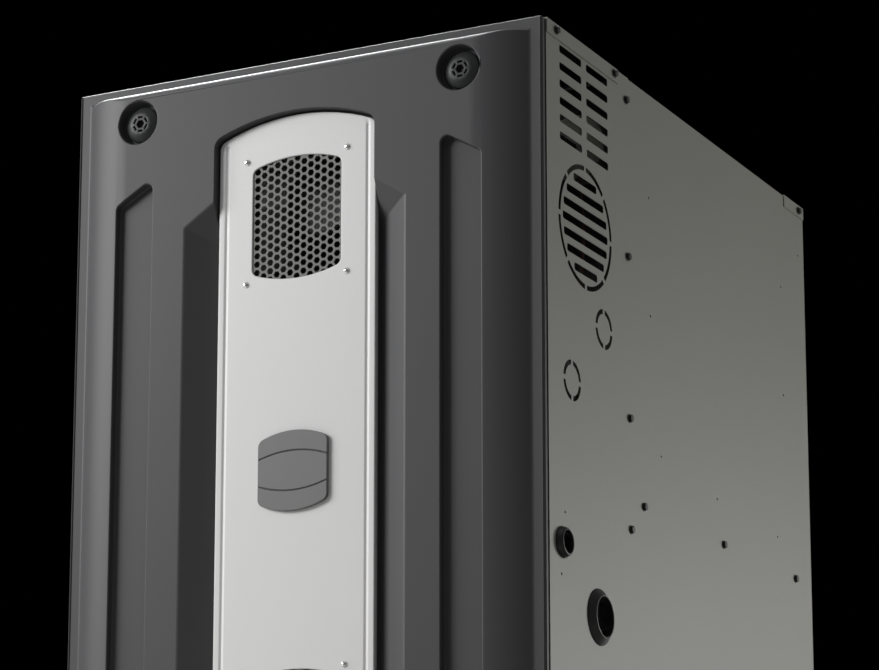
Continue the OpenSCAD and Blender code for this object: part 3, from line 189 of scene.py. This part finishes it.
def shaded_inside(paint, inside_shade, side, back, top):
    """Gives a paint a near black painted shade on the inner faces. The paint begins past the side, the back
    or the top.
    """
    tree = paint.node_tree
    base = tree.nodes["Principled BSDF"].inputs["Base Color"]
    place = add(tree, "ShaderNodeTexCoord").outputs["Object"]
    part = add(tree, "ShaderNodeSeparateXYZ", {"Vector": place}).outputs
    across = add(tree, "ShaderNodeMath", {0: part["X"]}, operation="ABSOLUTE").outputs["Value"]
    outer = 0.0
    for value, limit in ((across, side), (part["Y"], back), (part["Z"], top)):
        past = add(tree, "ShaderNodeMath", {0: value, 1: limit}, operation="GREATER_THAN")
        outer = add(tree, "ShaderNodeMath", {0: past.outputs["Value"], 1: outer},
                    operation="MAXIMUM").outputs["Value"]
    shade = add(tree, "ShaderNodeMix", {"Factor": outer, "A": linear(inside_shade), "B": base.links[0].from_socket},
                data_type="RGBA")
    tree.links.new(shade.outputs["Result"], base)


def eased(thing, edge_mm, flat=False):
    """Merges a solid's facets and eases its edges by modifiers. Curved forms are also shaded smooth."""
    for face in thing.data.polygons:
        face.use_smooth = not flat
    weld = thing.modifiers.new("weld", "WELD")
    weld.merge_threshold = WELD
    soft = thing.modifiers.new("eased edges", "BEVEL")
    soft.width = edge_mm * MM
    soft.segments = 2
    soft.limit_method = "ANGLE"
    soft.angle_limit = EASED_ANGLE
    soft.use_clamp_overlap = False
    if not flat:
        weigh = thing.modifiers.new("even shading", "WEIGHTED_NORMAL")
        weigh.keep_sharp = True


def dress(material, *names, edge_mm=0.0, flat=False):
    """Gives CAD nodes a finish, and eased edges where they have room for them."""
    for name in names:
        for place in nodes[name].material_slots:
            place.material = material
        if edge_mm:
            eased(nodes[name], edge_mm, flat=flat)


# Powder coat pools a little as it melts, which leaves broad soft patches of tone and a fine orange peel
for panels, paint_name, top in (
        (("left_side_panel", "right_side_panel", "back_panel"), "olive_powder_coat", PANEL_TOP - HAIR),
        (("top_cover", "rear_top_rail"), "olive_powder_coat_on_top", PANEL_TOP + HAIR)):
    coat = surface(paint_name, "#7B7C73", rough=0.48, patch_mm=260, patch=0.05, grain_mm=1.6, grain=0.03)
    # The inner faces get a near black painted shade
    shaded_inside(coat, "#161616", side=PANEL_HALF - HAIR, back=BACK - HAIR, top=top)
    dress(coat, *panels)

# Screws of the cabinet.
# Self-drilling steel screws with hexagonal washer heads, driven through the sides into the flanges.
# Their black finish catches small glints, so they read as dark dots on the pale sheet.
black_finish = surface("blackened_screw_steel", "#232420", rough=0.34, metal=0.3, patch_mm=8, patch=0.12,
                       grain_mm=0.5)
dress(black_finish, "cabinet_screws", edge_mm=0.25, flat=True)

# Grommets for the gas pipe and the wires.
# Moulded black rubber rings snapped into the side panels, flared up to a rounded lip round the bore.
# The lip has a slight bloom, so its tone is uneven and its highlight soft.
RIM_SHARE = 0.18
FLARE_SHARE = 0.86
MOUTH_SHARE = 0.9
FLARE_END = 2.4 * MM
LIP_OUTER = 1.5 * MM
LIP_INNER = 0.6 * MM
NECK_LENGTH = 3 * MM
RING_STEPS = 64
grommet_rubber = surface("bloomed_black_rubber", "#19191A", rough=0.33, patch_mm=14, patch=0.2, grain_mm=0.5,
                         grain=0.02)


def piece(name, bm, material, body, slot_name, *replaced):
    """Turns a bmesh into a named piece that rides on a CAD body."""
    mesh = bpy.data.meshes.new(name)
    bm.to_mesh(mesh)
    bm.free()
    mesh.materials.append(material)
    made = bpy.data.objects.new(name, mesh)
    scene.collection.objects.link(made)
    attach(made, body)
    if replaced:
        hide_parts(*replaced)
    return made


def round_edges(bm, radius_mm, angle, segments=3, wanted=None):
    """Rounds the edges that turn by more than an angle in degrees, or only the wanted ones among them."""
    sharp = [e for e in bm.edges if e.is_manifold and e.calc_face_angle(0) > math.radians(angle)
             and (wanted is None or wanted(e))]
    bmesh.ops.bevel(bm, geom=sharp, offset=radius_mm * MM, offset_type="OFFSET", affect="EDGES",
                    segments=segments, profile=0.5, material=-1, clamp_overlap=False)
    for face in bm.faces:
        face.smooth = True


def turned(bm, profile, place, axis):
    """Adds a ring turned from a closed profile of (distance along the axis, radius)."""
    side = axis.orthogonal().normalized()
    verts = [bm.verts.new(place + axis * along + side * radius) for along, radius in profile]
    edges = [bm.edges.new(pair) for pair in zip(verts, verts[1:] + verts[:1])]
    bmesh.ops.spin(bm, geom=edges, cent=place, axis=axis, angle=math.tau, steps=RING_STEPS, use_merge=True)


def grommet_profile(out, base, bore, neck):
    """The section of a ring that stands out of the sheet, with a neck that goes back through the sheet."""
    outside = [(0, base), (out * RIM_SHARE, base), (out * FLARE_SHARE, bore + FLARE_END)]
    lip = [(out, bore + LIP_OUTER), (out, bore + LIP_INNER), (out * MOUTH_SHARE, bore)]
    through = [(-NECK_LENGTH, bore), (-NECK_LENGTH, neck), (0, neck)]
    return outside + lip + through


def flared_grommets(name, foot_mm):
    """The grommets of one size on both sides, in place of the CAD node. The foot rests on the sheet."""
    points = [v.co for v in nodes[name].data.vertices if v.co.x > PANEL_HALF]
    out = max(p.x for p in points) - PANEL_HALF
    tall = [max(p.z for p in points), min(p.z for p in points)]
    wide = [max(p.y for p in points), min(p.y for p in points)]
    base = (tall[0] - tall[1]) / 2
    middle = Vector((0, sum(wide) / 2, sum(tall) / 2))
    bore = min(math.hypot(p.y - middle.y, p.z - middle.z) for p in points)
    profile = grommet_profile(out, base, bore, base - foot_mm * MM)
    ring = bmesh.new()
    for sign in (-1, 1):
        turned(ring, profile, middle + Vector((sign * PANEL_HALF, 0, 0)), Vector((sign, 0, 0)))
    bmesh.ops.recalc_face_normals(ring, faces=ring.faces)
    round_edges(ring, radius_mm=0.35, angle=25, segments=2)
    piece("flared_" + name, ring, grommet_rubber, "cabinet", "black_rubber", name)


flared_grommets("gas_grommets", foot_mm=6)
flared_grommets("wire_grommets", foot_mm=3.5)

# Inner sheet metal.
# Folded steel sheet, left as it was hot dip galvanised and riveted or screwed to the cabinet and the door.
# The zinc freezes into spangles a few millimetres across, which change its tone and gloss.
zinc_sheet = surface("spangled_galvanised_sheet", "#A9ABA9", rough=0.36, metal=0.85, patch_mm=9, patch=0.14,
                     grain_mm=5, grain=0.01, rough_spread=0.12)
dress(zinc_sheet, "base_pan", "blower_deck", "blower_door", "control_tray", "door_backer", "door_hooks",
      "latch_receptacles", edge_mm=0.35, flat=True)
dress(zinc_sheet, "flue_collar", edge_mm=0.35)

# Door.
# One moulding in charcoal ABS. Its bulge is crowned at both sides and every edge carries a mould radius, so a
# merged copy of the solid has its edges rounded: less in the strip's recess, more on the rest.
# The fine spark-eroded grain spreads the light, so the door looks satin and dark. Radii are in millimetres.
DOOR_RADIUS = 1.6
RECESS_RADIUS = 0.7
# The recess ends within this distance from the door's middle
RECESS_HALF = 95 * MM
DOOR_ANGLE = 22
FLAT_ANGLE = math.radians(0.5)
abs_moulding = surface("grained_charcoal_abs", "#4B4B4D", rough=0.42, patch_mm=160, patch=0.03, grain_mm=0.9,
                       grain=0.02, specular=0.24)


def merged(name):
    """A copy of a CAD solid whose loose triangles are joined and whose flat faces are whole again."""
    bm = bmesh.new()
    bm.from_mesh(nodes[name].data)
    bmesh.ops.remove_doubles(bm, verts=bm.verts, dist=WELD)
    bmesh.ops.dissolve_limit(bm, angle_limit=FLAT_ANGLE, verts=bm.verts, edges=bm.edges,
                             use_dissolve_boundaries=False)
    return bm


def reach_across(edge):
    """How far an edge reaches from the middle of the door."""
    return max(abs(v.co.x) for v in edge.verts)


door_bm = merged("door_shell")
round_edges(door_bm, RECESS_RADIUS, angle=DOOR_ANGLE, wanted=lambda e: reach_across(e) < RECESS_HALF)
round_edges(door_bm, DOOR_RADIUS, angle=DOOR_ANGLE, wanted=lambda e: reach_across(e) > RECESS_HALF)
door = piece("door_moulding", door_bm, abs_moulding, "door", "door_plastic", "door_shell")
door.modifiers.new("even shading", "WEIGHTED_NORMAL")

# Door gasket.
# A cord of closed cell foam rubber, glued round the back of the door.
# Its open pores make it matt and nearly black.
foam = surface("foam_rubber", "#161617", rough=0.8, patch_mm=12, patch=0.2, grain_mm=0.8, grain=0.1)
dress(foam, "door_gasket", edge_mm=0.8)

# Centre strip.
# Pressed sheet, turned in at its edge, with a soft groove along each side that fades out at both ends. It is
# screwed into the door's recess.
# The satin silver paint is even and pale, and only a little shiny. Lengths are in millimetres.
GROOVE_IN = 9.0
GROOVE_HALF = 3.0
GROOVE_DEPTH = 1.1
GROOVE_STOP = 24.0
GROOVE_FADE = 4.0
GROOVE_STEPS = 4
STRIP_EDGE = 1.1
FACE_SLACK = 0.05
silver_paint = surface("satin_silver_paint", "#E0E0E0", rough=0.36, patch_mm=200, patch=0.015, grain_mm=0.4,
                       grain=0.008, rough_spread=0.03)
strip_bm = merged("centre_strip")
strip_x = max(v.co.x for v in strip_bm.verts)
strip_front = min(v.co.y for v in strip_bm.verts)
strip_ends = [min(v.co.z for v in strip_bm.verts), max(v.co.z for v in strip_bm.verts)]


def groove_depth(co):
    """How deep the soft groove is at a point of the strip's front."""
    off = abs(strip_x - GROOVE_IN * MM - abs(co.x)) / (GROOVE_HALF * MM)
    room = min(co.z - strip_ends[0], strip_ends[1] - co.z) - (GROOVE_STOP - GROOVE_FADE) * MM
    share = min(1, max(0, room / (GROOVE_FADE * MM)))
    return GROOVE_DEPTH * MM * share * (math.cos(math.pi * min(1, off)) + 1) / 2


def cut_at(bm, place, normal):
    """Cuts a mesh along a plane and keeps both sides."""
    bmesh.ops.bisect_plane(bm, geom=bm.verts[:] + bm.edges[:] + bm.faces[:], dist=WELD, plane_co=place,
                           plane_no=normal)


# Cuts along and across each side give the soft groove its points, which then sink from the strip's face
for step in range(-GROOVE_STEPS, GROOVE_STEPS + 1):
    across = strip_x - (GROOVE_IN + GROOVE_HALF * step / GROOVE_STEPS) * MM
    for sign in (-1, 1):
        cut_at(strip_bm, (sign * across, 0, 0), (1, 0, 0))
for end, sign in zip(strip_ends, (1, -1)):
    for back in (GROOVE_STOP - GROOVE_FADE, GROOVE_STOP):
        cut_at(strip_bm, (0, 0, end + sign * back * MM), (0, 0, 1))
for vert in strip_bm.verts:
    if vert.co.y < strip_front + (GROOVE_DEPTH + FACE_SLACK) * MM:
        vert.co.y = strip_front + groove_depth(vert.co)
round_edges(strip_bm, STRIP_EDGE, angle=33,
            wanted=lambda e: max(v.co.y for v in e.verts) < strip_front + FACE_SLACK * MM)
strip = piece("silver_strip", strip_bm, silver_paint, "door", "strip_silver", "centre_strip")
strip.modifiers.new("even shading", "WEIGHTED_NORMAL")

# Grilles.
# Steel sheet punched with a honeycomb and painted grey, held behind the two windows of the strip.
# The webs catch a matt light against the dark behind them.
grille_paint = surface("grey_grille_paint", "#6E6E6B", rough=0.5, patch_mm=30, patch=0.06, grain_mm=0.6,
                       grain=0.03)
dress(grille_paint, "upper_grille", "lower_grille", edge_mm=0.25)

# Badge.
# A small arched plate moulded in grey ABS and stuck on the strip, bare but for two engraved arcs across it.
# It is smooth and satin, so it reads as one even grey.
badge_abs = surface("satin_grey_abs", "#6C6C6D", rough=0.4, patch_mm=30, patch=0.03, grain_mm=0.5,
                    grain=0.015)
badge_bm = merged("badge")
round_edges(badge_bm, radius_mm=0.7, angle=60)
badge = piece("bare_badge", badge_bm, badge_abs, "door", "badge_plastic", "badge")
badge.modifiers.new("even shading", "WEIGHTED_NORMAL")

# Strip screws.
# Domed machine screws that hold the strip and the grilles to the door.
# Their bright nickel plate mirrors the lamps in small points.
nickel = surface("bright_nickel_plate", "#F0F0EE", rough=0.19, metal=1.0, patch_mm=4, patch=0.03,
                 grain_mm=0.3, grain=0.002)
dress(nickel, "strip_screws", edge_mm=0.15)

# Latch knobs.
# Moulded in black nylon and coned up to a flat hub that has a hexagonal socket and six small slots. Each sits
# on the stud of a quarter-turn latch. The slots are drawn a little further in and wider than in the CAD.
# Nylon has a soft sheen, so the cone shows a broad grey highlight.
SLOT_PITCH = math.tau / 6
SLOT_RADIUS = 8.4 * MM
SLOT_HALF = 1.5 * MM
SLOT_IN = 0.9 * MM
SLOT_STRETCH = 1.3
knob_nylon = surface("black_nylon", "#2C2D2E", rough=0.45, patch_mm=20, patch=0.06, grain_mm=0.5, grain=0.02,
                     specular=0.35)


def middle_along(bm, axis):
    """The middle between a mesh's two ends along an axis."""
    places = [getattr(v.co, axis) for v in bm.verts]
    return (min(places) + max(places)) / 2


for side in ("left", "right"):
    knob_bm = bmesh.new()
    knob_bm.from_mesh(nodes[side + "_knob"].data)
    bmesh.ops.remove_doubles(knob_bm, verts=knob_bm.verts, dist=WELD)
    hub_x = middle_along(knob_bm, "x")
    hub_z = middle_along(knob_bm, "z")
    for vert in knob_bm.verts:
        radius = math.hypot(vert.co.x - hub_x, vert.co.z - hub_z)
        if abs(radius - SLOT_RADIUS) < SLOT_HALF:
            angle = math.atan2(vert.co.z - hub_z, vert.co.x - hub_x)
            # The slots lie half a pitch round from the X axis
            middle = (math.floor(angle / SLOT_PITCH) + 0.5) * SLOT_PITCH
            angle = middle + (angle - middle) * SLOT_STRETCH
            radius -= SLOT_IN
            vert.co.x = hub_x + radius * math.cos(angle)
            vert.co.z = hub_z + radius * math.sin(angle)
    knob = piece(side + "_nylon_knob", knob_bm, knob_nylon, side + "_latch", "knob_plastic", side + "_knob")
    eased(knob, edge_mm=0.4)

# Latch studs and blower shaft.
# Turned steel with a bright zinc plate. The studs go through the door into the cabinet's receptacles.
# The plate is smooth and slightly blue, with crisp highlights along the turned faces.
zinc_plate = surface("bright_zinc_plate", "#B9BCC0", rough=0.25, metal=1.0, patch_mm=10, patch=0.08,
                     grain_mm=0.4, grain=0.004)
dress(zinc_plate, "left_latch_stud", "right_latch_stud", "blower_shaft", edge_mm=0.3)

# Burner compartment walls.
# Folded galvanised sheet round the burners, screwed to the cabinet's sides.
# It is drawn dull, and its colour is painted dark as painted shade, which leaves the grilles black behind
# their holes.
shade_dark_zinc = surface("shade_darkened_galvanised_sheet", "#4A4B48", rough=0.5, metal=0.4, patch_mm=30, patch=0.2,
                    grain_mm=4, grain=0.01, rough_spread=0.1)
dress(shade_dark_zinc, "vestibule_panel", "collector_box", "burner_rack", edge_mm=0.35, flat=True)

# Heat exchanger cells.
# Bent aluminised steel tubes, swaged into the vestibule panel.
# Heat has given them a faint straw tint in broad patches.
aluminised = surface("heat_tinted_aluminised_steel", "#A59C8C", rough=0.42, metal=0.8, patch_mm=45,
                     patch=0.16, grain_mm=2.5, grain=0.01)
dress(aluminised, "heat_cell_1", "heat_cell_2", "heat_cell_3", "heat_cell_4")

# Burners.
# Pressed from aluminised sheet and hung in the rack, with the straw tint of steel that has been hot.
burner_metal = surface("straw_aluminised_burner", "#B0A68F", rough=0.4, metal=0.8, patch_mm=20, patch=0.15)
dress(burner_metal, "burners", edge_mm=0.3)

# Gas train.
# A black iron pipe as manifold, with a lightly scaled skin, screwed into a die cast valve whose skin is
# bright and pebbled.
black_iron = surface("black_iron_pipe", "#2E2D2C", rough=0.5, metal=0.4, patch_mm=15, patch=0.2, grain_mm=1.5,
                     grain=0.06)
dress(black_iron, "gas_manifold", edge_mm=0.4)
cast_alloy = surface("die_cast_zinc", "#A6A8A8", rough=0.42, metal=0.9, patch_mm=18, patch=0.08, grain_mm=0.9,
                     grain=0.05)
dress(cast_alloy, "gas_valve", edge_mm=0.8)

# Gas cock and switches.
# Moulded in black thermoset, which has an even satin skin, and screwed or clipped to the sheet.
thermoset = surface("black_thermoset", "#29292B", rough=0.4, patch_mm=10, patch=0.1)
dress(thermoset, "gas_valve_knob", "rollout_switches", "limit_switch", "door_switch", edge_mm=0.5)

# Reset buttons.
# Small red buttons on the rollout switches, moulded with a glossy skin so that they are found at once.
red_button = surface("glossy_red_button", "#B8352B", rough=0.25, patch_mm=5, patch=0.05, grain=0.0)
dress(red_button, "left_reset_button", "right_reset_button", edge_mm=0.3)

# Igniter and flame sensor.
# Pressed steatite bodies, screwed beside the outer burners.
# The ceramic is unglazed, so it is chalky and cream.
steatite = surface("unglazed_steatite", "#DDD8C8", rough=0.6, patch_mm=8, patch=0.06, grain_mm=0.6,
                   grain=0.03)
dress(steatite, "igniter", "flame_sensor", edge_mm=0.4)

# Draft inducer, blower motor and transformer.
# A moulded scroll and wound steel cores, bolted on and coated in one black enamel.
# The enamel is glossy and slightly blue, with a light orange peel.
enamel = surface("black_motor_enamel", "#303236", rough=0.35, patch_mm=40, patch=0.08, grain_mm=1.2,
                 grain=0.03)
dress(enamel, "inducer_housing", "inducer_motor", "blower_motor", "transformer", edge_mm=0.6)

# Wheels and blower scroll.
# Rolled and crimped galvanised sheet. The thin vanes keep their sharp edges.
# Its spangle is small and bright, so the scroll looks lightly mottled.
wheel_zinc = surface("galvanised_wheel_sheet", "#AEB0AE", rough=0.35, metal=0.85, patch_mm=12, patch=0.1,
                     grain_mm=4, grain=0.01)
dress(wheel_zinc, "blower_wheel", "inducer_wheel", "blower_housing", "motor_arms")

# Pressure switch and the door switch's plunger.
# Moulded in natural nylon, which is a warm white with a soft sheen.
white_nylon = surface("natural_nylon", "#D9D5CA", rough=0.42, patch_mm=15, patch=0.04)
dress(white_nylon, "pressure_switch", "door_switch_plunger", edge_mm=0.6)

# Pressure hose.
# Extruded black rubber, pushed over the nipples of the inducer and the switch, and slightly dusty.
hose_rubber = surface("black_hose_rubber", "#1D1D1F", rough=0.5, patch_mm=12, patch=0.15, grain_mm=0.6,
                      grain=0.03)
dress(hose_rubber, "pressure_hose")

# Control board.
# Glass fibre laminate under a green solder mask, screwed to its tray. The mask is thin, clear and shiny.
solder_mask = surface("green_solder_mask", "#2C6A3E", rough=0.3, patch_mm=12, patch=0.1, grain_mm=1.2,
                      grain=0.01)
dress(solder_mask, "control_board", edge_mm=0.2)

# Wiring.
# Tinned copper wires in coloured vinyl, run from plugs on the control board up both sides of the burner
# compartment. The vinyl is smooth, with a soft highlight along its length.
# Each wire has its colour, its plug's place across, its first bend, the riser that it follows and its end.
WIRE_RADIUS = 1.3 * MM
WIRE_PITCH = 3 * MM
WIRES_ABREAST = 4
PLUG_Y = -0.166
PLUG_Z = 0.364
RIGHT_RISER = [(0.205, -0.192, 0.40), (0.228, -0.186, 0.47), (0.232, -0.184, 0.62)]
LEFT_RISER = [(-0.205, -0.192, 0.40), (-0.232, -0.188, 0.43)]
HARNESS = {
    "valve_wire_yellow": ("#D9B63A", -0.085, (-0.10, -0.184, 0.385), LEFT_RISER,
                          [(-0.236, -0.215, 0.49), (-0.222, -0.236, 0.524)]),
    "valve_wire_blue": ("#2F5FA8", -0.078, (-0.09, -0.186, 0.388), LEFT_RISER,
                        [(-0.224, -0.212, 0.492), (-0.205, -0.236, 0.520)]),
    "igniter_wire_white": ("#DCD8CC", -0.066, (-0.08, -0.184, 0.384), LEFT_RISER,
                           [(-0.222, -0.182, 0.468), (-0.203, -0.174, 0.5)]),
    "switch_wire_red": ("#B3362C", 0.060, (0.08, -0.184, 0.386), RIGHT_RISER,
                        [(0.20, -0.215, 0.64), (0.12, -0.235, 0.60), (0.102, -0.208, 0.543)]),
    "sensor_wire_orange": ("#C96A28", 0.070, (0.09, -0.186, 0.384), RIGHT_RISER[:2],
                           [(0.220, -0.178, 0.487), (0.203, -0.174, 0.5)]),
    "pressure_wire_brown": ("#6A4630", 0.080, (0.10, -0.184, 0.386), RIGHT_RISER,
                            [(0.238, -0.182, 0.70), (0.228, -0.178, 0.752)]),
    "motor_wire_black": ("#232325", 0.090, (0.11, -0.186, 0.388), RIGHT_RISER,
                         [(0.180, -0.235, 0.655), (0.09, -0.285, 0.672), (0.035, -0.285, 0.702)]),
}


def wire(name, colour, path):
    """A round vinyl wire along a smooth path, made a mesh at once."""
    curve = bpy.data.curves.new(name, "CURVE")
    curve.dimensions = "3D"
    curve.bevel_depth = WIRE_RADIUS
    curve.bevel_resolution = 3
    curve.resolution_u = 8
    curve.use_fill_caps = True
    spline = curve.splines.new("NURBS")
    spline.points.add(len(path) - 1)
    for point, place in zip(spline.points, path):
        point.co = (*place, 1)
    spline.order_u = 3
    spline.use_endpoint_u = True
    drawn = bpy.data.objects.new(name, curve)
    bm = bmesh.new()
    bm.from_mesh(drawn.to_mesh())
    drawn.to_mesh_clear()
    bpy.data.objects.remove(drawn)
    for face in bm.faces:
        face.smooth = True
    vinyl = surface(name.replace("_wire", "") + "_vinyl", colour, rough=0.4, patch_mm=12, patch=0.08,
                    grain=0.0)
    piece(name, bm, vinyl, "cabinet", "black_rubber")


for number, (name, (colour, plug_x, bend, riser, end)) in enumerate(HARNESS.items()):
    spread = (number % WIRES_ABREAST - (WIRES_ABREAST - 1) / 2) * WIRE_PITCH
    run = [(x + spread, y + spread, z) for x, y, z in riser]
    wire(name, colour, [(plug_x, PLUG_Y, PLUG_Z), bend] + run + end)
